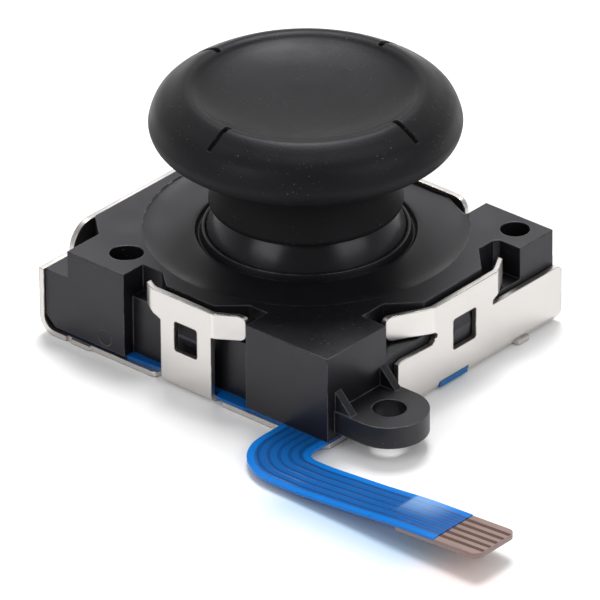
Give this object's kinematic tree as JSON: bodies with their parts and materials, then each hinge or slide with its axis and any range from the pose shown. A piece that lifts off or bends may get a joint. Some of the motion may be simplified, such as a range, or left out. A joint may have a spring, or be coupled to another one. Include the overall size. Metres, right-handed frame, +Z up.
{
  "type": "controller analog stick",
  "caption": "Low-profile two-axis analog stick with a dished rubber thumb cap, click switch, clipped steel base, screw ear and flex tail.",
  "frame": {"origin": "on the stick's axis at rest, on the underside of the steel base plate", "axes": "+Z up along the stick at rest; the long plain face with the front clip faces -Y and the flex tail leaves under it; the screw ear stands on the +X side"},
  "size_m": [0.033, 0.0227, 0.0134],
  "materials": {
    "shell": "moulded black, satin",
    "sheet": "nickel-plated stamping",
    "film": "blue coverlay, slight gloss",
    "contacts": "thin printed metal",
    "ink": "printed carbon",
    "dome_steel": "thin spring sheet",
    "acetal": "low-friction moulding",
    "bearing": "moulded grey",
    "wiper": "spring alloy",
    "spring": "drawn wire",
    "polished": "polished black dome",
    "rubber": "soft matte overmould"
  },
  "bodies": {
    "base": {"housing": "shell", "base_plate": "sheet", "flex_circuit": "film", "tail_stiffener": "film", "contact_finger_1": "contacts", "contact_finger_2": "contacts", "contact_finger_3": "contacts", "contact_finger_4": "contacts", "contact_finger_5": "contacts", "track_x_resistor": "ink", "track_x_collector": "contacts", "track_y_resistor": "ink", "track_y_collector": "contacts", "snap_dome": "dome_steel", "slider_guide": "acetal", "bearing_frame": "bearing", "return_spring": "spring"},
    "gimbal": {"gimbal_ring": "bearing"},
    "hub": {"pivot_hub": "bearing"},
    "stick": {"stick_lever": "polished", "thumb_cap": "rubber"},
    "x_slider": {"slider_x": "acetal", "wiper_x": "wiper"},
    "y_slider": {"slider_y": "acetal", "wiper_y": "wiper"}
  },
  "joints": [
    {"name": "tilt_y", "type": "hinge", "parent": "base", "child": "gimbal", "pos_m": [0, 0, 0.00375], "axis": [0, 1, 0], "range_deg": [-12, 12], "stiffness_Nm_per_rad": 0.006},
    {"name": "tilt_x", "type": "hinge", "parent": "gimbal", "child": "hub", "pos_m": [0, 0, 0.00375], "axis": [1, 0, 0], "range_deg": [-12, 12], "stiffness_Nm_per_rad": 0.006},
    {"name": "press", "type": "slide", "parent": "hub", "child": "stick", "axis": [0, 0, 1], "range_m": [-0.0003, 0], "stiffness_N_per_m": 400, "deforming": ["return_spring"]},
    {"name": "x_slide", "type": "slide", "parent": "base", "child": "x_slider", "axis": [1, 0, 0], "range_m": [-0.00055, 0.00055]},
    {"name": "y_slide", "type": "slide", "parent": "base", "child": "y_slider", "axis": [0, 1, 0], "range_m": [-0.00055, 0.00055]}
  ],
  "couplings": [
    {"joint": "x_slide", "follows": "tilt_y", "m_per_rad": -0.002545},
    {"joint": "y_slide", "follows": "tilt_x", "m_per_rad": 0.001995}
  ]
}
